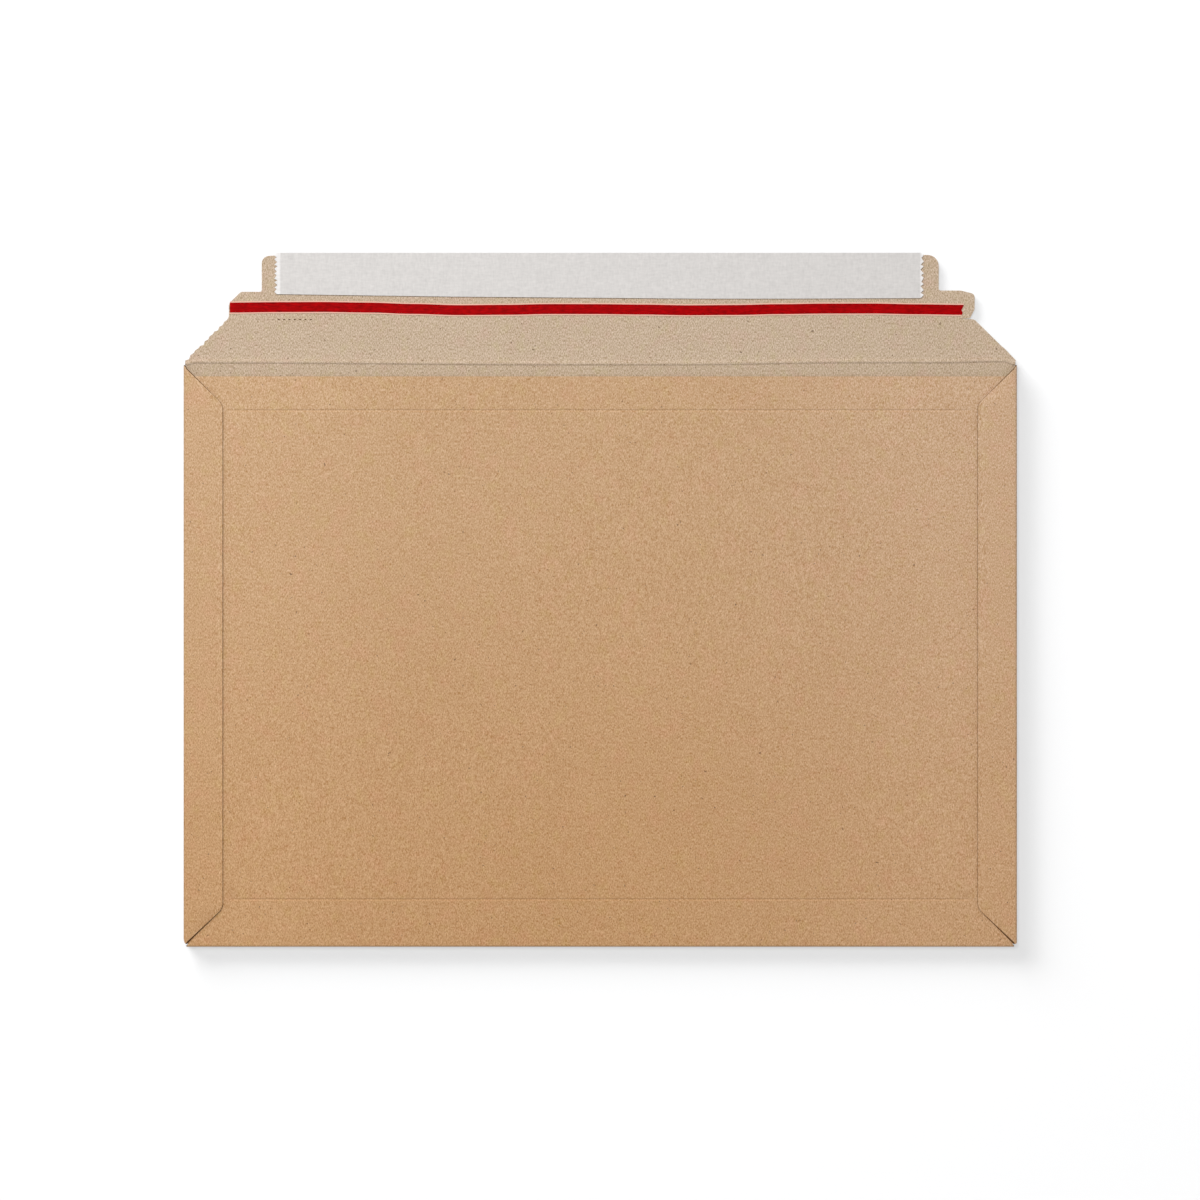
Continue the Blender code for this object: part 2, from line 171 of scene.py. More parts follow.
class FlapSizes(bpy.types.PropertyGroup):
    """Sizes of the closing flap, measured up from the fold line"""

    bead_width: length("Bead Width", 0.0024, "Width of the bead along the fold line")
    bead_height: length("Bead Height", 0.00042, "Height of the bead along the fold line")
    bead_lower: length("Lower Flank", 0.0008, "Width of the bead's lower flank")
    bead_upper: length("Upper Flank", 0.0011, "Width of the bead's upper flank")
    bead_foot: length("Bead Foot", 0.00105, "From the bead's foot up to the fold line")
    bead_end: length("Bead End", 0.0007, "Half height of the bead's blunt ends")
    bead_reach: length("Bead Reach", 0.1665, "Half length of the bead")
    left_bow: length("Left Bow", 0.0007, "Rise of the bead towards its left end")
    right_bow: length("Right Bow", 0.0008, "Rise of the bead towards its right end")
    end_bow: length("End Bow", 0.0004, "Further rise near the bead's right end")
    bow_fade: length("Bow Fade", 0.003, "Stretch in which each end comes back to the corner")
    bow_reach: length("Bow Reach", 0.007, "How far off the fold line the board is drawn along")
    left_slope: length("Left Slope", 0.16755, "Where the left slope would meet the fold line")
    right_slope: length("Right Slope", 0.168, "Where the right slope would meet the fold line")
    shoulder_rise: length("Shoulder Rise", 0.0179, "Height of the shoulders")
    neck_clearance: length("Neck Clearance", 0.0022, "Room between neck and side flaps")
    neck_rise: length("Neck Rise", 0.0292, "Height of the neck")
    neck_dip: length("Neck Dip", 0.0005, "How much lower the neck is at its left end")
    neck_chamfer: length("Neck Chamfer", 0.0048, "Cut off the neck's left corner")
    tab_step: length("Tab Step", 0.0132, "Step from the neck in to the tab")
    tab_rise: length("Tab Rise", 0.0435, "Height of the tab")
    tab_dip: length("Tab Dip", 0.0006, "How much lower the tab is at its left end")
    tab_left: length("Left Tab Radius", 0.003, "Rounding of the tab's left corner")
    tab_right: length("Right Tab Radius", 0.0045, "Rounding of the tab's right corner")
    step_radius: length("Step Radius", 0.0008, "Rounding where the tab meets the neck")
    shoulder_radius: length("Shoulder Radius", 0.002, "Rounding of the shoulders")
    tear_reach: length("Tear Reach", 0.0012, "How far the tear tab stands out")
    tear_slant: length("Tear Slant", 0.0055, "Length of the slant along the tear tab's top")
    tear_dip: length("Tear Dip", 0.0014, "Drop of the tear tab's top along the slant")
    tear_radius: length("Tear Radius", 0.0016, "Rounding of the tear tab")
    tear_notch: length("Tear Notch", 0.0019, "Depth of the notch under the tear tab")
    slit_length: length("Slit Length", 0.0041, "Length of the slit under the tear tab")
    slit_width: length("Slit Width", 0.0003, "Width of the slit under the tear tab")
    tooth_pitch: length("Tooth Pitch", 0.0027, "Spacing of the teeth along the left slope")
    tooth_depth: length("Tooth Depth", 0.0005, "Mean depth of the teeth along the left slope")
    nick_rise: length("Nick Rise", 0.01756, "Height of the row of nicks in the inner face")
    nick_start: length("Nick Start", 0.0115, "From the neck's left end to the first nick")
    nick_pitch: length("Nick Pitch", 0.00214, "Spacing of the nicks")
    nick_length: length("Nick Length", 0.0009, "Length of a nick")
    nick_width: length("Nick Width", 0.00045, "Width of a nick")
    nick_depth: length("Nick Depth", 0.0003, "Depth of the deepest nick")
    nick_count: IntProperty(
        name="Nick Count", description="Number of nicks in the row", default=11, min=1, max=40,
    )


class LinerSizes(bpy.types.PropertyGroup):
    """Sizes of the release liner"""

    paper: length("Paper", 0.0001, "Thickness of the liner")
    left_width: length("Left Width", 0.0166, "Width of the liner at its left end")
    right_width: length("Right Width", 0.0182, "Width of the liner at its right end")
    left_pitch: length("Left Pitch", 0.0019, "Spacing of the teeth at the left end")
    right_pitch: length("Right Pitch", 0.0023, "Spacing of the teeth at the right end")
    tooth_depth: length("Tooth Depth", 0.0013, "Depth of the pinked teeth")
    corner_radius: length("Corner Radius", 0.0016, "Rounding of the lower right corner")
    cockle: length("Cockle", 0.00008, "How far the liner stands off in places")
    cell: length("Cell", 0.003, "Spacing of the rows of points across the liner")


class TapeSizes(bpy.types.PropertyGroup):
    """Sizes of the tear tape"""

    film: length("Film", 0.00008, "Thickness of the film")
    rise: length("Rise", 0.0217, "From the fold line up to the middle of the tape")
    width: length("Width", 0.00404, "Width of the red band")
    # The margins are bands along both edges of the film that carry painted highlight
    margin: length("Margin", 0.00045, "Width of the clear margin on either side of the band")
    cell: length("Cell", 0.002, "Spacing of the rows of points along the tape")


class Colours(bpy.types.PropertyGroup):
    """Colours of the materials"""

    kraft: colour("Kraft", (0.565, 0.357, 0.199), "Outer face of the board")
    inner: colour("Inner Face", (0.550, 0.420, 0.300), "Inner face of the board")
    cut: colour("Cut Edge", (0.470, 0.340, 0.220), "Cut edges of the board")
    # Painted shade: a dark colour for the side flaps' cut edges and the deeper nicks, standing for
    # the shade along those edges, in the gaps at the mitres and in the nicks
    pressed: colour("Pressed Edge", (0.150, 0.075, 0.030), "Crushed edges and nicks")
    speck: colour("Specks", (0.110, 0.060, 0.030), "Dark specks in the board")
    liner: colour("Liner", (0.652, 0.627, 0.608), "Release liner")
    tape: colour("Tape", (0.350, 0.001, 0.002), "Red band of the tear tape")
    # Painted highlight: pale bands along both edges of the red film
    margin: colour("Tape Margin", (0.860, 0.510, 0.400), "Clear margins of the tear tape")
    adhesive: colour("Adhesive", (0.780, 0.740, 0.620), "Adhesive under the liner")
    glue: colour("Glue", (0.620, 0.520, 0.340), "Glue under the side flaps")
    floor: colour("Floor", (0.150, 0.150, 0.151), "Lit part of the floor")


class StageSettings(bpy.types.PropertyGroup):
    """Floor, lamps and camera"""

    view_width: length("View Width", 0.4811, "Width of the picture at the mailer")
    lens: FloatProperty(
        name="Lens", description="Focal length of the camera", default=85, min=1,
        subtype="DISTANCE_CAMERA",
    )
    key_share: amount("Key Share", 0.55, "Share of the light that the soft lamp gives")
    key_size: length("Key Size", 0.7, "Width of the soft lamp")
    floor_light: amount("Floor Light", 1.7, "Grazing light on the floor, against the rest")
    floor_glow: amount("Floor Glow", 0.565, "White that the floor shows of itself")


class MailerSettings(bpy.types.PropertyGroup):
    """Everything that can be set on the mailer"""

    pocket: PointerProperty(type=PocketSizes, name="Pocket", description="Sizes of the pocket")
    flap: PointerProperty(type=FlapSizes, name="Flap", description="Sizes of the flap")
    liner: PointerProperty(type=LinerSizes, name="Liner", description="Sizes of the liner")
    tape: PointerProperty(type=TapeSizes, name="Tape", description="Sizes of the tape")
    colours: PointerProperty(type=Colours, name="Colours", description="Material colours")
    stage: PointerProperty(type=StageSettings, name="Stage", description="Floor, lamps, camera")


class Value:
    """One output of a node. Arithmetic on it adds Math nodes to the same material."""

    def __init__(self, recipe, socket):
        self.recipe = recipe
        self.socket = socket

    def maths(self, operation, first, second):
        return self.recipe.node("ShaderNodeMath", {"operation": operation}, {0: first, 1: second})

    def __add__(self, other):
        return self.maths("ADD", self, other)

    def __radd__(self, other):
        return self.maths("ADD", other, self)

    def __sub__(self, other):
        return self.maths("SUBTRACT", self, other)

    def __rsub__(self, other):
        return self.maths("SUBTRACT", other, self)

    def __mul__(self, other):
        return self.maths("MULTIPLY", self, other)

    def __rmul__(self, other):
        return self.maths("MULTIPLY", other, self)


class Recipe:
    """A node tree that is filled step by step."""

    def __init__(self, tree):
        self.tree = tree
        tree.nodes.clear()

    def node(self, kind, settings=None, sockets=None, output=0):
        """Adds a node with its settings first, then its sockets' values or links."""
        made = self.tree.nodes.new(kind)
        for name, value in (settings or {}).items():
            setattr(made, name, value)
        for name, value in (sockets or {}).items():
            if isinstance(value, Value):
                self.tree.links.new(value.socket, made.inputs[name])
            else:
                made.inputs[name].default_value = value
        return Value(self, made.outputs[output]) if made.outputs else None

    def place(self, scale=(1, 1, 1)):
        """Object coordinates, squeezed where a pattern runs in one direction."""
        point = self.node("ShaderNodeTexCoord", output="Object")
        return self.node("ShaderNodeMapping", sockets={"Vector": point, "Scale": scale})

    def along(self, axis):
        """The object coordinate along one axis."""
        return self.node("ShaderNodeSeparateXYZ", sockets={0: self.place()}, output=axis)

    def noise(self, place, cells, detail=2):
        """Noise with so many cells to the metre."""
        sockets = {"Vector": place, "Scale": cells, "Detail": detail}
        return self.node("ShaderNodeTexNoise", sockets=sockets)

    def ramp(self, value, low, high):
        """Runs smoothly from 0 to 1 as a value goes from low to high."""
        sockets = {"Value": value, "From Min": low, "From Max": high}
        return self.node("ShaderNodeMapRange", {"interpolation_type": "SMOOTHSTEP"}, sockets)

    def mix(self, first, second, share):
        """Mixes two colours by a share."""
        sockets = {0: share, 6: first, 7: second}
        return self.node("ShaderNodeMix", {"data_type": "RGBA"}, sockets, 2)

    def tinge(self, tint, shift, share):
        """Multiplies a colour by a shift, as far as the share says."""
        settings = {"data_type": "RGBA", "blend_type": "MULTIPLY"}
        return self.node("ShaderNodeMix", settings, {0: share, 6: tint, 7: (*shift, 1)}, 2)

    def scaled(self, tint, tone):
        """A colour made lighter or darker by a tone around 1."""
        return self.node("ShaderNodeVectorMath", {"operation": "SCALE"}, {0: tint, "Scale": tone})


def new_recipe(owner):
    """The emptied node tree of a material or a world."""
    owner.use_nodes = True
    return Recipe(owner.node_tree)


def finish_surface(name, paint):
    """A material from a function that gives its colour, relief, depth and other sockets."""
    material = bpy.data.materials.new(name)
    recipe = new_recipe(material)
    tint, relief, depth, sockets = paint(recipe)
    normal = recipe.node("ShaderNodeBump", sockets={"Height": relief, "Distance": depth})
    sockets = {"Base Color": tint, "Normal": normal, **sockets}
    shader = recipe.node("ShaderNodeBsdfPrincipled", sockets=sockets)
    recipe.node("ShaderNodeOutputMaterial", sockets={"Surface": shader})
    return material


def rgba(tint, red=1, green=1, blue=1):
    """A stored colour, with its channels shifted if need be, as a socket takes it."""
    return tint[0] * red, tint[1] * green, tint[2] * blue, 1


def outer_painted_light(recipe, tint):
    """Painted light on the outer face. A painted sheen leaves it warmer towards the bottom fold
    and paler above; painted light makes it a little paler at both sides and cooler to the right.
    """
    low = 1 - recipe.ramp(recipe.along("Y"), -0.15, 0.1)
    across = recipe.along("X")
    right = recipe.ramp(across, 0, 0.16)
    sides = recipe.ramp(across * across, 0.003, 0.02)
    tint = recipe.tinge(tint, (1, 0.903, 0.768), low)
    tint = recipe.tinge(tint, (1, 1.03, 1.12), right)
    return recipe.tinge(tint, (1.05, 1.061, 1.08), sides)


def inner_painted_shade(recipe, tint):
    """Painted shade: the inner face is a little darker inside the pocket's mouth."""
    inside = 1 - recipe.ramp(recipe.along("Y"), FOLD_Y - 0.0012, FOLD_Y)
    return recipe.tinge(tint, (0.958, 0.955, 0.94), inside)


def board_face(base, speck, look, shade):
    """The face of a solid board: fine grain, cloudy patches, tinted fibres and dark specks, with
    the painted light and shade that a given function lays on.
    """
    depths, speck_level = look

    def paint(recipe):
        grain = recipe.noise(recipe.place(), 2600, 1)
        streaks = recipe.noise(recipe.place((1, 0.4, 1)), 2900, 0)
        patch = recipe.noise(recipe.place(), 130, 3)
        cloud = recipe.noise(recipe.place(), 20)
        share = grain + streaks - 0.5 + (patch - 0.5) * 0.08 + (cloud - 0.5) * 0.08
        dark = rgba(base, *(1 - depth for depth in depths))
        light = rgba(base, *(1 + depth for depth in depths))
        # The painted light and shade goes on over the grain
        tint = shade(recipe, recipe.mix(dark, light, share))
        pink = recipe.ramp(recipe.noise(recipe.place(), 120), 0.5, 0.75)
        green = recipe.ramp(recipe.noise(recipe.place((1.1, 0.9, 1)), 190), 0.52, 0.76)
        tint = recipe.tinge(tint, (1.02, 0.972, 1), pink)
        tint = recipe.tinge(tint, (0.985, 1.01, 0.93), green)
        speckle = recipe.noise(recipe.place((1.3, 1, 1)), 820, 1)
        spots = recipe.ramp(speckle, speck_level, speck_level + 0.04) * 0.75
        tint = recipe.mix(tint, rgba(speck), spots)
        relief = grain * 0.6 + streaks * 0.4
        return tint, relief, 0.000006, {"Roughness": 0.86, "Specular IOR Level": 0.3}
    return paint


def board_cut(base):
    """A cut edge: thin plies of packed fibre, a little fuzzy; with a dark base it is painted
    shade.
    """
    def paint(recipe):
        plies = recipe.noise(recipe.place((0.06, 0.06, 1)), 6000)
        fuzz = recipe.noise(recipe.place(), 2500)
        tint = recipe.scaled(base, 0.62 + plies * 0.3 + fuzz * 0.35)
        relief = plies * 0.6 + fuzz * 0.4
        return tint, relief, 0.00004, {"Roughness": 0.95, "Specular IOR Level": 0.15}
    return paint


def liner_face(base):
    """Release paper: a fine weave of fibre, faint clouds and torn white ends."""
    def paint(recipe):
        cloud = recipe.noise(recipe.place(), 90, 3)
        along = recipe.noise(recipe.place((0.3, 1, 1)), 1400, 1)
        across = recipe.noise(recipe.place((1, 0.3, 1)), 1400, 1)
        weave = along + across
        tint = recipe.scaled(base, 0.785 + cloud * 0.05 + weave * 0.19)
        run = recipe.along("X")
        inner_end, outer_end = LINER_HIGH.x - 0.0018, LINER_HIGH.x - 0.0009
        torn = recipe.ramp(run * run, inner_end ** 2, outer_end ** 2)
        tint = recipe.tinge(tint, (1.27, 1.28, 1.3), torn)
        relief = cloud * 0.4 + weave * 0.3
        return tint, relief, 0.00003, {"Roughness": 0.5, "Specular IOR Level": 0.4}
    return paint


def tape_face(base, margin, share):
    """Red film between pale margins that take a share of its width, a painted highlight along both
    edges: fine ribs, hardly shining.
    """
    def paint(recipe):
        ribs = recipe.noise(recipe.place((0.15, 1, 1)), 2500, 1)
        cloud = recipe.noise(recipe.place(), 700)
        place = recipe.node("ShaderNodeUVMap", {"uv_map": "UVMap"})
        away = recipe.node("ShaderNodeSeparateXYZ", sockets={0: place}, output="Y") - 0.5
        away = away * away
        middle = 1 - recipe.ramp(away, 0.04, 0.16)
        tint = recipe.scaled(base, 0.02 + ribs * 1.2 + cloud * 0.6 + middle * 0.12)
        edge = (0.5 - share) ** 2
        soft = 0.008
        # Painted highlight: the margins turn pale
        tint = recipe.mix(tint, rgba(margin), recipe.ramp(away, edge - soft, edge + soft))
        relief = ribs * 0.6 + cloud * 0.4
        return tint, relief, 0.00002, {"Roughness": 0.42, "Specular IOR Level": 0.02}
    return paint


def glue_film(base, roughness):
    """A thin film of adhesive with small bubbles and streaks."""
    def paint(recipe):
        bubbles = recipe.noise(recipe.place(), 1500)
        streaks = recipe.noise(recipe.place((1, 0.2, 1)), 500)
        tint = recipe.scaled(base, 0.85 + streaks * 0.3)
        return tint, bubbles, 0.00003, {"Roughness": roughness}
    return paint


def near(value, target):
    return abs(value - target) < NEAR


def smooth_step(share):
    """Runs from 0 to 1 with level ends."""
    share = min(max(share, 0), 1)
    return share * share * (3 - 2 * share)


def ease(place, start, run):
    """Runs smoothly from 0 to 1 over a run, from the start on."""
    return smooth_step((place - start) / run)


def rows(start, end, cell):
    """Even places from start to end, about one cell apart."""
    count = max(1, round((end - start) / cell))
    return [start + (end - start) * step / count for step in range(count + 1)]


def begin(name, width, height, centre):
    """A flat rectangle at its size and place, open in edit mode."""
    bpy.ops.object.select_all(action="DESELECT")
    bpy.ops.mesh.primitive_plane_add(size=1, location=centre)
    piece = bpy.context.object
    piece.name = piece.data.name = name
    bpy.ops.object.transform_apply(location=True, rotation=True, scale=True)
    bpy.ops.object.mode_set(mode="EDIT")
    bpy.ops.transform.resize(value=(width, height, 1), center_override=centre)
    return piece


def edited_mesh():
    return bmesh.from_edit_mesh(bpy.context.object.data)


def choose(kind, test):
    """Selects the vertices, edges or faces that pass the test."""
    bpy.ops.mesh.select_mode(type=kind)
    bpy.ops.mesh.select_all(action="DESELECT")
    bm = edited_mesh()
    items = {"VERT": bm.verts, "EDGE": bm.edges, "FACE": bm.faces}[kind]
    found = [item for item in items if test(item)]
    if not found:
        raise RuntimeError("the mesh has nothing at the place that was asked for")
    for item in found:
        item.select_set(True)
    bm.select_flush_mode()
    bmesh.update_edit_mesh(bpy.context.object.data)


def open_edge(test):
    """Passes the open edges whose two ends both pass a test on their place."""
    return lambda edge: edge.is_boundary and all(test(vertex.co) for vertex in edge.verts)


def extrude(move):
    bpy.ops.mesh.extrude_region_move(TRANSFORM_OT_translate={"value": move})


def roll(centre, axis):
    """Folds the chosen edges half a turn over an axis."""
    bpy.ops.mesh.spin(
        steps=FOLD_STEPS, angle=-math.pi, center=centre, axis=axis, use_auto_merge=False,
    )


def move_points(change):
    """Moves each vertex of the open mesh by what the function says for its place."""
    for vertex in edited_mesh().verts:
        vertex.co += Vector(change(vertex.co))
    bmesh.update_edit_mesh(bpy.context.object.data)


def slice_across(axis, places, test=None):
    """Cuts the mesh, or the faces that pass a test, right across at places along an axis."""
    normal = Vector((0, 0, 0))
    normal[axis] = 1
    for place in places:
        if test:
            choose("FACE", test)
        else:
            bpy.ops.mesh.select_all(action="SELECT")
        bpy.ops.mesh.bisect(plane_co=normal * place, plane_no=normal, threshold=TINY)


def apply_modifier(piece, kind, **settings):
    modifier = piece.modifiers.new(kind.lower(), kind)
    for name, value in settings.items():
        setattr(modifier, name, value)
    bpy.ops.object.modifier_apply(modifier=modifier.name)


def cut_outline(name, corners, height):
    """A flat sheet: a point is extruded round the outline, filled, and its corners rounded."""
    x, y, _ = corners[0]
    piece = begin(name, NEAR, NEAR, (x, y, height))
    bpy.ops.mesh.select_mode(type="VERT")
    bpy.ops.mesh.select_all(action="SELECT")
    bpy.ops.mesh.merge(type="CENTER")
    for (x0, y0, _), (x1, y1, _) in zip(corners, corners[1:]):
        step = (x1 - x0, y1 - y0, 0)
        bpy.ops.mesh.extrude_vertices_move(TRANSFORM_OT_translate={"value": step})
    bpy.ops.mesh.select_all(action="SELECT")
    bpy.ops.mesh.edge_face_add()
    for index, (x, y, radius) in enumerate(corners):
        if radius == 0:
            continue
        before = Vector(corners[index - 1][:2]) - Vector((x, y))
        after = Vector(corners[(index + 1) % len(corners)][:2]) - Vector((x, y))
        reach = radius / math.tan(before.angle(after) / 2)
        reach = min(reach, before.length * 0.48, after.length * 0.48)
        choose("VERT", lambda vertex: near(vertex.co.x, x) and near(vertex.co.y, y))
        bpy.ops.mesh.bevel(offset=reach, segments=ARC_STEPS, affect="VERTICES")
    return piece


def weld_sheet():
    """Merges doubles and turns the faces of the open sheet down."""
    bpy.ops.mesh.select_all(action="SELECT")
    bpy.ops.mesh.remove_doubles(threshold=NEAR)
    bpy.ops.mesh.normals_make_consistent(inside=False)
    lowest = min(edited_mesh().faces, key=lambda face: face.calc_center_median().z)
    if lowest.normal.z > 0:
        bpy.ops.mesh.flip_normals()
    bpy.ops.object.mode_set(mode="OBJECT")


def plan_board(pocket, flap):
    """Places that follow from the sizes of the pocket and the flap."""
    bottom_radius = (2 * pocket.board + pocket.air) / 2
    side_radius = POCKET_HIGH.z / 2
    panel_half = POCKET_HIGH.x - side_radius
    inner_x = POCKET_HIGH.x - pocket.side_flap
    neck_half = inner_x - flap.neck_clearance
    return SimpleNamespace(
        bottom_radius=bottom_radius,
        front_top=2 * bottom_radius,
        side_radius=side_radius,
        side_top=2 * side_radius,
        panel_half=panel_half,
        panel_bottom=POCKET_LOW.y + bottom_radius,
        panel_top=FOLD_Y - flap.bead_width / 2,
        mouth_y=FOLD_Y - pocket.mouth_drop,
        inner_x=inner_x,
        mitre_run=panel_half - inner_x,
        crease_end=inner_x - pocket.crease_end,
        crease_rows=(POCKET_LOW.y + pocket.bottom_crease, FOLD_Y - pocket.top_crease),
        neck_half=neck_half,
        tab_half=neck_half - flap.tab_step,
    )


def fold_pocket(pocket, plan):
    """The back panel, the front panel folded up over it, and the two side flaps over that."""
    height = plan.panel_top - plan.panel_bottom
    centre = (0, plan.panel_bottom + height / 2, 0)
    piece = begin("board_blank", 2 * plan.panel_half, height, centre)
    choose("VERT", lambda vertex: near(vertex.co.y, plan.panel_bottom))
    bpy.ops.mesh.bevel(offset=pocket.corner_cut, segments=1, affect="VERTICES")
    choose("EDGE", open_edge(lambda place: near(place.y, plan.panel_bottom)))
    roll((0, plan.panel_bottom, plan.bottom_radius), (-1, 0, 0))
    extrude((0, plan.mouth_y - plan.panel_bottom, 0))
    for side in (-1, 1):
        fold_side(side, pocket, plan)

    def flare(place):
        out = max(plan.panel_bottom - place.y, 0) / plan.bottom_radius
        return math.copysign(pocket.fold_flare * out, place.x), 0, 0

    move_points(flare)
    bpy.ops.object.mode_set(mode="OBJECT")
    return piece


def fold_side(side, pocket, plan):
    """A side fold, and the flap with mitred ends that lies over the front panel."""
    edge_x = side * plan.panel_half
    choose("EDGE", open_edge(lambda place: near(place.x, edge_x) and near(place.z, 0)))
    roll((edge_x, 0, plan.side_radius), (0, -side, 0))
    extrude((-side * plan.mitre_run, 0, 0))
    middle_y = (plan.panel_bottom + plan.panel_top) / 2
    end_drop = pocket.mitre_drop - (FOLD_Y - plan.panel_top)
    notch = pocket.left_notch if side < 0 else pocket.right_notch

    def at_inner_corner(place):
        return near(place.x, side * plan.inner_x) and near(place.z, plan.side_top)

    def trim(place):
        lower = place.y < middle_y
        if at_inner_corner(place):
            return 0, plan.mitre_run if lower else -plan.mitre_run - end_drop, 0
        out = side * place.x - plan.panel_half
        turn = math.atan2(max(out, 0), plan.side_radius - place.z)
        if out < -NEAR or turn < NEAR:
            return 0, 0, 0
        bulge = out * (1 - out / plan.side_radius) / 2
        if lower:
            rise = notch * math.sin(turn) ** 2
        elif turn > math.pi / 2:
            rise = out + bulge - end_drop
        else:
            rise = (plan.side_radius - end_drop) * math.sin(turn)
        return side * bulge, rise, 0

    move_points(trim)
    choose("VERT", lambda vertex: at_inner_corner(vertex.co))
    offset = pocket.mitre_radius * math.tan(math.pi / 8)
    bpy.ops.mesh.bevel(offset=offset, segments=ARC_STEPS, affect="VERTICES")


def lean_cuts(pocket, plan):
    """Leans the side flaps' cut edges back, most at the bottom corners, and darkens them with
    painted shade, for the shade along the edges and in the gaps at the mitres.
    """
    bm = edited_mesh()
    for vertex in bm.verts:
        walls = [face.normal for face in vertex.link_faces if face.material_index == CUT]
        if not walls or vertex.co.z < plan.side_top - NEAR:
            continue
        away = sum(walls, Vector()).normalized()
        if vertex.co.y < 0:
            reach, further = pocket.bottom_reach, pocket.bottom_lean
        else:
            reach, further = pocket.top_reach, pocket.top_lean
        share = smooth_step((abs(vertex.co.x) - plan.panel_half + reach) / pocket.board)
        vertex.co -= away * (pocket.cut_lean + further * share)
    # Painted shade: the side flaps' cut faces take the dark cut material
    for face in bm.faces:
        if face.material_index == CUT and face.calc_center_median().z > plan.front_top:
            face.material_index = SHADED_CUT
    bmesh.update_edit_mesh(bpy.context.object.data)


def flap_outline(flap, plan):
    """The closing flap from the pocket's top edge, clockwise: x, y and the corner's radius."""
    base = flap.bead_width / 2
    end_x, end_y = flap.bead_reach, flap.bead_end
    left = flap.left_slope - base
    right = flap.right_slope - base
    tear_x = plan.neck_half + flap.tear_reach
    notch_x = tear_x - flap.tear_notch
    slit_y = flap.shoulder_rise
    half_slit = flap.slit_width / 2
    foot = Vector((-left, base))
    shoulder = Vector((-plan.neck_half, flap.left_slope - plan.neck_half))
    left_neck = flap.neck_rise - flap.neck_dip
    slope = shoulder - foot
    inward = Vector((slope.y, -slope.x)).normalized() * flap.tooth_depth
    steps = 2 * round(slope.length / flap.tooth_pitch)
    teeth = [
        foot + slope * step / steps + inward * (step % 2) * (1 + 0.5 * math.sin(step * 2.1))
        for step in range(steps)
    ]
    corners = [
        (-plan.panel_half, -base, 0),
        (-end_x, -end_y, 0),
        (-end_x, end_y, 0),
        *((tooth.x, tooth.y, 0) for tooth in teeth),
        (shoulder.x, shoulder.y, flap.shoulder_radius),
        (-plan.neck_half, left_neck - flap.neck_chamfer, flap.shoulder_radius),
        (flap.neck_chamfer - plan.neck_half, left_neck, flap.shoulder_radius),
        (-plan.tab_half, left_neck, flap.step_radius),
        (-plan.tab_half, flap.tab_rise - flap.tab_dip, flap.tab_left),
        (LINER_LOW.x + flap.tab_left, flap.tab_rise, flap.shoulder_radius),
        (plan.tab_half, flap.tab_rise, flap.tab_right),
        (plan.tab_half, flap.neck_rise, flap.step_radius),
        (tear_x - flap.tear_slant, flap.neck_rise, flap.tear_slant / 2),
        (tear_x, flap.neck_rise - flap.tear_dip, flap.tear_radius),
        (tear_x, slit_y + 2 * flap.tear_notch, flap.shoulder_radius),
        (notch_x, slit_y + half_slit, 0),
        (notch_x - flap.slit_length, slit_y, 0),
        (notch_x, slit_y - half_slit, 0),
        (flap.right_slope - slit_y, slit_y - flap.slit_width, flap.shoulder_radius),
        (right, base, 0),
        (end_x, end_y, 0),
        (end_x, -end_y, 0),
        (plan.panel_half, -base, 0),
    ]
    return [(x, FOLD_Y + y, radius) for x, y, radius in corners]


def join_flap(piece, flap_sheet):
    """Joins the flap to the pocket's top edge."""
    bpy.ops.object.select_all(action="DESELECT")
    flap_sheet.select_set(True)
    piece.select_set(True)
    bpy.context.view_layer.objects.active = piece
    bpy.ops.object.join()
    bpy.ops.object.mode_set(mode="EDIT")
    weld_sheet()


def add_rows(pocket, flap, plan):
    """Rows of points across the whole board, closer together at the creases and the bead."""
    hold = pocket.board / 2
    across = rows(hold - plan.panel_half, plan.panel_half - hold, pocket.cell)
    for side in (-1, 1):
        across += [side * plan.crease_end, side * (plan.crease_end - pocket.crease_width)]
        across.append(side * (plan.panel_half - flap.bow_fade))
    upward = rows(plan.panel_bottom + hold, FOLD_Y + flap.tab_rise - pocket.cell / 2, pocket.cell)
    half = pocket.crease_width / 2
    for middle in plan.crease_rows:
        upward += rows(middle - half, middle + half, pocket.crease_width / CREASE_ROWS)
    half = flap.bead_width / 2
    upward += rows(FOLD_Y - half, FOLD_Y + half, flap.bead_width / BEAD_ROWS)
    slice_across(0, across)
    slice_across(1, upward)


def bow(place, flap, plan):
    """How far the bead is drawn up off the fold line at a place, most towards its ends."""
    left = flap.left_bow * ease(-place.x, 0.02, 0.13)
    right = flap.right_bow * ease(place.x, 0.03, 0.07)
    end = flap.end_bow * ease(place.x, 0.14, 0.015)
    ends = smooth_step((plan.panel_half - abs(place.x)) / flap.bow_fade)
    close = (flap.bow_reach - abs(place.y - FOLD_Y)) / (flap.bow_reach - flap.bead_width / 2)
    return (left + right + end) * ends * smooth_step(close)


def press_creases(pocket, flap, plan):
    """Presses the creases into the front panel, and the bead up along the fold line."""
    half_bead = flap.bead_width / 2

    def press(place):
        if place.z < plan.front_top / 2:
            away = place.y - FOLD_Y
            lower = (flap.bead_foot + away) / flap.bead_lower
            share = min(lower, (half_bead - away) / flap.bead_upper)
            return 0, bow(place, flap, plan), flap.bead_height * smooth_step(share)
        if place.z > plan.front_top + TINY:
            return 0, 0, 0
        ends = smooth_step((plan.crease_end - abs(place.x)) / pocket.crease_width)
        away = min(abs(place.y - middle) for middle in plan.crease_rows)
        dip = smooth_step((1 - away * 2 / pocket.crease_width) * 1.4)
        return 0, 0, -pocket.crease_depth * dip * ends

    move_points(press)


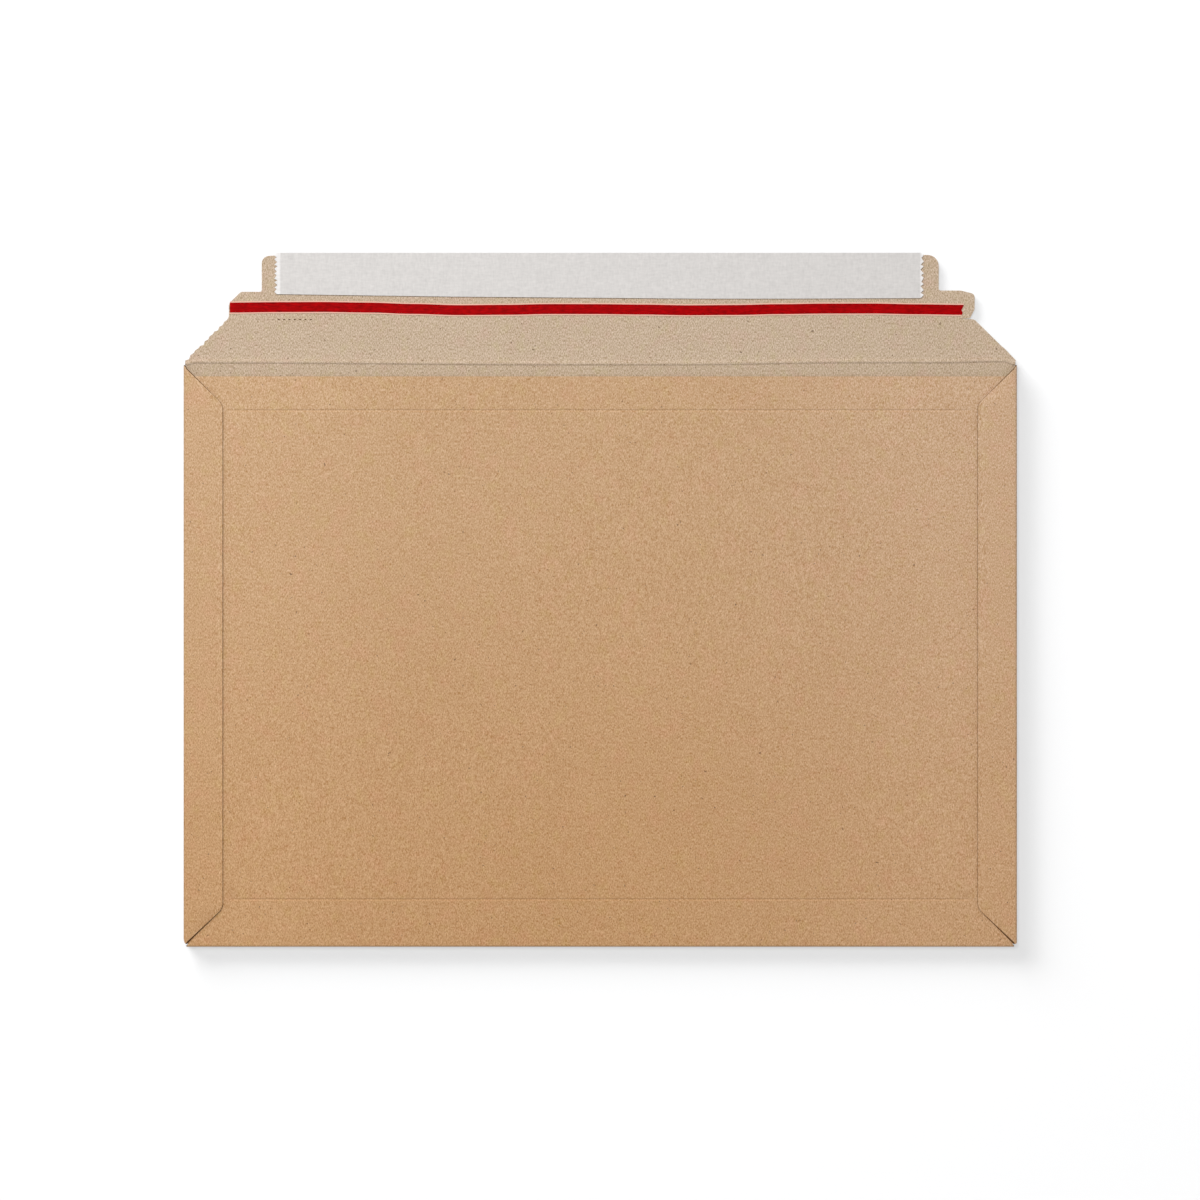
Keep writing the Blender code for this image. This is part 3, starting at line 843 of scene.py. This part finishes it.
def press_nicks(flap, plan):
    """A row of short nicks sunk into the flap's inner face, deeper to the right; all but the
    shallowest get painted shade.
    """
    row_y = FOLD_Y + flap.nick_rise
    half_width = flap.nick_width / 2
    half_length = flap.nick_length / 2
    first = flap.nick_start - plan.neck_half
    centres = [first + flap.nick_pitch * step for step in range(flap.nick_count)]
    low, high = centres[0] - half_length, centres[-1] + half_length

    def in_row(face):
        xs = [vertex.co.x for vertex in face.verts]
        ys = [vertex.co.y for vertex in face.verts]
        crossed = min(ys) < row_y + half_width - TINY and max(ys) > row_y - half_width + TINY
        return face.normal.z > 0.9 and crossed and min(xs) < high and max(xs) > low

    slice_across(1, (row_y - half_width, row_y + half_width), in_row)
    slice_across(0, [x + end for x in centres for end in (-half_length, half_length)], in_row)
    for step, x in enumerate(centres):
        choose("FACE", lambda face: in_row(face)
               and abs(face.calc_center_median().x - x) < half_length)
        depth = flap.nick_depth * min(1, 0.4 + 0.15 * step)
        bpy.ops.mesh.inset(thickness=half_width * 0.3, depth=-depth)
        # Painted shade in the deeper nicks: the dark cut material
        if step >= PALE_NICKS:
            for face in edited_mesh().faces:
                if face.select:
                    face.material_index = SHADED_CUT


def wave(x, y):
    """A slow wave over the sheet, between -1 and 1."""
    slow = math.sin(x * 23 + 0.6) * math.sin(y * 31 + 1.1)
    quick = math.sin(x * 61 + y * 17 + 2) * math.cos(y * 53 - x * 11)
    return 0.7 * slow + 0.3 * quick


def flap_lift(place, sway):
    """How far the open flap, and all that lies on it, stands off the ground."""
    return sway * (1 + wave(place.x, place.y)) / 2 * ease(place.y, FOLD_Y, 0.02)


def build_board(settings):
    """The whole blank, folded, with its creases, rounded cut edges and three materials."""
    pocket, flap, tints = settings.pocket, settings.flap, settings.colours
    plan = plan_board(pocket, flap)
    piece = fold_pocket(pocket, plan)
    flap_sheet = cut_outline("flap_sheet", flap_outline(flap, plan), 0)
    bpy.ops.object.mode_set(mode="OBJECT")
    join_flap(piece, flap_sheet)
    for name, paint in (
        ("kraft_face", board_face(tints.kraft, tints.speck, KRAFT_GRAIN, outer_painted_light)),
        ("inner_face", board_face(tints.inner, tints.speck, INNER_GRAIN, inner_painted_shade)),
        ("cut_edge", board_cut(tints.cut)),
        # Painted shade on the side flaps' cut edges and in the nicks
        ("pressed_edge", board_cut(tints.pressed)),
    ):
        piece.data.materials.append(finish_surface(name, paint))
    apply_modifier(
        piece, "SOLIDIFY", thickness=pocket.board, offset=-1, use_even_offset=True,
        material_offset=1, material_offset_rim=CUT,
    )
    bpy.ops.object.mode_set(mode="EDIT")
    lean_cuts(pocket, plan)
    bpy.ops.object.mode_set(mode="OBJECT")
    apply_modifier(
        piece, "BEVEL", width=pocket.softening, segments=2, limit_method="ANGLE",
        angle_limit=math.radians(50), use_clamp_overlap=False,
    )
    bpy.ops.object.mode_set(mode="EDIT")
    add_rows(pocket, flap, plan)
    press_creases(pocket, flap, plan)
    press_nicks(flap, plan)

    def droop(place):
        """The share of a side flap's hanging edge at a place."""
        if place.z < plan.front_top + NEAR:
            return 0
        run = plan.panel_half - abs(place.x)
        above = (place.y - plan.panel_bottom - run) / math.sqrt(2)
        below = (FOLD_Y - pocket.mitre_drop - run - place.y) / math.sqrt(2)
        inside = min(abs(place.x) - plan.inner_x, above, below)
        return smooth_step(1 - inside / pocket.droop_reach) * smooth_step(run / 0.002)

    def settle(place):
        upper = ease(place.z, pocket.board, pocket.board)
        lift = wave(place.x, place.y) * pocket.sway * upper + flap_lift(place, pocket.sway)
        return 0, 0, lift - pocket.droop * droop(place)

    move_points(settle)
    bpy.ops.object.mode_set(mode="OBJECT")
    bpy.ops.object.shade_smooth_by_angle(angle=math.radians(20))
    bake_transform(piece)
    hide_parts("mailer_pocket", "closing_flap")
    return piece


def liner_outline(liner):
    """The liner with its pinked ends, from the top left and round: x, y and radius."""
    top = LINER_HIGH.y
    ends = []
    for side, tip, width, pitch in (
        (-1, LINER_LOW.x, liner.left_width, liner.left_pitch),
        (1, LINER_HIGH.x, liner.right_width, liner.right_pitch),
    ):
        steps = 2 * round(width / pitch)
        end = []
        for step in range(steps + 1):
            wander = 0.25 * math.sin(step * 1.9 + side) if 0 < step < steps else 0
            depth = liner.tooth_depth * (0.85 + 0.15 * math.sin(step * 2.3))
            x = tip - side * depth * (1 - step % 2)
            end.append((x, top - width * (step + wander) / steps, 0))
        ends.append(end)
    left, right = ends
    x, y, _ = right[-1]
    right[-1] = (x, y, liner.corner_radius)
    bends = [(x, top - width, 0) for x, width in LINER_BENDS]
    return right + bends + left[::-1]


def build_liner(settings):
    """The release liner, pinked at both ends, with a slight cockle."""
    liner = settings.liner
    piece = cut_outline("liner_strip", liner_outline(liner), LINER_LOW.z)
    weld_sheet()
    paper = finish_surface("liner_paper", liner_face(settings.colours.liner))
    piece.data.materials.append(paper)
    apply_modifier(piece, "SOLIDIFY", thickness=liner.paper, offset=-1)
    bpy.ops.object.mode_set(mode="EDIT")
    slice_across(0, rows(LINER_LOW.x + liner.cell, LINER_HIGH.x - liner.cell, liner.cell))
    slice_across(1, rows(LINER_LOW.y + liner.cell, LINER_HIGH.y - liner.cell, liner.cell))

    def cockle(place):
        ripple = math.sin(place.x * 71) * math.sin(place.y * 190 + place.x * 13)
        ends = smooth_step((abs(place.x) - LINER_HIGH.x + 0.012) / 0.012)
        rise = liner.cockle * (0.5 + 0.5 * ripple) * (0.4 + 0.6 * ends)
        return 0, 0, rise + flap_lift(place, settings.pocket.sway)

    move_points(cockle)
    bpy.ops.object.mode_set(mode="OBJECT")
    bpy.ops.object.shade_smooth_by_angle(angle=math.radians(30))
    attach(piece, "flap")
    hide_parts("release_liner")
    return piece


def tape_drift(x):
    """How far the tape has wandered up or down at a place along it."""
    spans = len(TAPE_DRIFT) - 1
    along = (x - TAPE_LOW.x) / (TAPE_HIGH.x - TAPE_LOW.x) * spans
    span = min(max(int(along), 0), spans - 1)
    share = (1 - math.cos(math.pi * min(max(along - span, 0), 1))) / 2
    return TAPE_DRIFT[span] * (1 - share) + TAPE_DRIFT[span + 1] * share


def build_tape(settings):
    """The tear tape: a ribbon of film that wanders a little, with a torn right end."""
    tape = settings.tape
    width = tape.width + 2 * tape.margin
    bottom = FOLD_Y + tape.rise - width / 2
    centre = ((TAPE_LOW.x + TAPE_HIGH.x) / 2, bottom + width / 2, TAPE_LOW.z)
    piece = begin("tear_ribbon", TAPE_HIGH.x - TAPE_LOW.x, width, centre)
    steps = len(TAPE_END) - 1
    slice_across(1, [bottom + width * step / steps for step in range(1, steps)])
    slice_across(0, rows(TAPE_LOW.x + tape.cell, TAPE_HIGH.x - tape.cell, tape.cell))

    def wander(place):
        back = 0
        if near(place.x, TAPE_HIGH.x):
            back = TAPE_END[round((place.y - bottom) / width * steps)]
        return -back, tape_drift(place.x), flap_lift(place, settings.pocket.sway)

    move_points(wander)
    weld_sheet()
    tints = settings.colours
    face = tape_face(tints.tape, tints.margin, tape.margin / width)
    film = finish_surface("tape_film", face)
    piece.data.materials.append(film)
    apply_modifier(piece, "SOLIDIFY", thickness=tape.film, offset=-1)
    bpy.ops.object.shade_smooth_by_angle(angle=math.radians(30))
    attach(piece, "flap")
    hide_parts("tear_tape")
    return piece


def paint_glue(settings):
    """Materials for the adhesive and the glue, whose shapes the frame already has."""
    adhesive = finish_surface("adhesive_film", glue_film(settings.colours.adhesive, 0.25))
    glue = finish_surface("seam_glue", glue_film(settings.colours.glue, 0.35))
    for name, material in (
        ("adhesive_strip", adhesive), ("left_glue_seam", glue), ("right_glue_seam", glue),
    ):
        materials = frame["nodes"][name].data.materials
        materials.clear()
        materials.append(material)


def seen_rays(recipe):
    """One for the camera's rays, and for those of reflections and of glass."""
    kinds = ("Is Camera Ray", "Is Glossy Ray", "Is Transmission Ray")
    camera, glossy, through = (recipe.node("ShaderNodeLightPath", output=kind) for kind in kinds)
    return camera + glossy + through


def add_floor(settings):
    """A wide white floor that keeps the mailer's shadow.

    It is clear from below and throws no light on the mailer, so the back can be looked at.
    """
    bpy.ops.object.select_all(action="DESELECT")
    bpy.ops.mesh.primitive_plane_add(size=12, location=(0, 0, -0.0001))
    floor = bpy.context.object
    floor.name = "floor"
    material = bpy.data.materials.new("floor")
    recipe = new_recipe(material)
    shader = recipe.node("ShaderNodeBsdfPrincipled", sockets={
        "Base Color": rgba(settings.colours.floor), "Specular IOR Level": 0.0,
        "Emission Color": (1, 1, 1, 1),
        "Emission Strength": seen_rays(recipe) * settings.stage.floor_glow,
    })
    below = recipe.node("ShaderNodeNewGeometry", output="Backfacing")
    clear = recipe.node("ShaderNodeBsdfTransparent")
    surface = recipe.node("ShaderNodeMixShader", sockets={0: below, 1: shader, 2: clear})
    recipe.node("ShaderNodeOutputMaterial", sockets={"Surface": surface})
    floor.data.materials.append(material)
    floor.visible_diffuse = False
    return floor


def add_lamp(name, kind, place, **settings):
    """A lamp at a place, turned to the middle of the mailer."""
    bpy.ops.object.light_add(type=kind, location=place)
    lamp = bpy.context.object
    lamp.name = name
    lamp.rotation_euler = (-Vector(place)).to_track_quat("-Z", "Y").to_euler()
    for key, value in settings.items():
        setattr(lamp.data, key, value)
    return lamp


def add_lamps(stage, floor):
    """A soft lamp at the upper left, an even fill, and grazing lights for the floor alone."""
    place = Vector(KEY_PLACE)
    upright = place.normalized().z
    energy = stage.key_share * math.pi ** 2 * place.length_squared / upright
    add_lamp("key_lamp", "AREA", place, energy=energy, size=stage.key_size)

    receivers = bpy.data.collections.new("floor_only")
    receivers.objects.link(floor)
    width = math.radians(GRAZE_WIDTH)
    for degrees in FLOOR_TURNS:
        turn = math.radians(degrees)
        place = Vector((-math.sin(turn), math.cos(turn), GRAZE)).normalized()
        energy = stage.floor_light * math.pi / place.z / len(FLOOR_TURNS)
        graze = add_lamp("floor_lamp", "SUN", place, energy=energy, angle=width)
        graze.light_linking.receiver_collection = receivers

    world = bpy.data.worlds.new("studio")
    bpy.context.scene.world = world
    recipe = new_recipe(world)
    fill = 1 - stage.key_share
    strength = fill + seen_rays(recipe) * stage.key_share
    sockets = {"Color": (1, 1, 1, 1), "Strength": strength}
    light = recipe.node("ShaderNodeBackground", sockets=sockets)
    recipe.node("ShaderNodeOutputWorld", sockets={"Surface": light})


def add_camera(stage):
    """A camera that looks straight down on the mailer."""
    middle = Vector((*VIEW_CENTRE, POCKET_HIGH.z / 2))
    bpy.ops.object.camera_add()
    camera = bpy.context.object
    camera.data.lens = stage.lens
    distance = stage.view_width * stage.lens / camera.data.sensor_width
    camera.location = middle + Vector((0, 0, distance))
    camera.rotation_euler = (0, 0, 0)
    bpy.context.scene.camera = camera


class MAILER_OT_board(bpy.types.Operator):
    """Fold the board into the pocket, with its closing flap"""

    bl_idname = "mailer.board"
    bl_label = "Fold the Board"

    def execute(self, context):
        build_board(context.scene.mailer)
        return {"FINISHED"}


class MAILER_OT_liner(bpy.types.Operator):
    """Lay the release liner on the flap"""

    bl_idname = "mailer.liner"
    bl_label = "Lay the Liner"

    def execute(self, context):
        build_liner(context.scene.mailer)
        return {"FINISHED"}


class MAILER_OT_tape(bpy.types.Operator):
    """Lay the tear tape along the flap"""

    bl_idname = "mailer.tape"
    bl_label = "Lay the Tear Tape"

    def execute(self, context):
        build_tape(context.scene.mailer)
        return {"FINISHED"}


class MAILER_OT_glue(bpy.types.Operator):
    """Finish the adhesive and the glue seams"""

    bl_idname = "mailer.glue"
    bl_label = "Finish the Glue"

    def execute(self, context):
        paint_glue(context.scene.mailer)
        return {"FINISHED"}


class MAILER_OT_stage(bpy.types.Operator):
    """Set up the floor, the lamps and the camera"""

    bl_idname = "mailer.stage"
    bl_label = "Set the Stage"

    def execute(self, context):
        settings = context.scene.mailer
        context.scene.view_settings.view_transform = "Standard"
        floor = add_floor(settings)
        add_lamps(settings.stage, floor)
        add_camera(settings.stage)
        return {"FINISHED"}


class MAILER_PT_build(bpy.types.Panel):
    """Buttons that build the mailer, piece by piece"""

    bl_label = "Board Book Mailer"
    bl_idname = "MAILER_PT_build"
    bl_space_type = "VIEW_3D"
    bl_region_type = "UI"
    bl_category = "Mailer"

    def draw(self, context):
        for operator in OPERATORS:
            self.layout.operator(operator.bl_idname)


OPERATORS = (
    MAILER_OT_board, MAILER_OT_liner, MAILER_OT_tape, MAILER_OT_glue, MAILER_OT_stage,
)
CLASSES = (
    PocketSizes, FlapSizes, LinerSizes, TapeSizes, Colours, StageSettings, MailerSettings,
    *OPERATORS, MAILER_PT_build,
)


def register():
    for item in CLASSES:
        bpy.utils.register_class(item)
    bpy.types.Scene.mailer = PointerProperty(type=MailerSettings)


def unregister():
    del bpy.types.Scene.mailer
    for item in reversed(CLASSES):
        bpy.utils.unregister_class(item)


def main():
    register()
    bpy.ops.mailer.board()
    bpy.ops.mailer.liner()
    bpy.ops.mailer.tape()
    bpy.ops.mailer.glue()
    bpy.ops.mailer.stage()


if __name__ == "__main__":
    main()
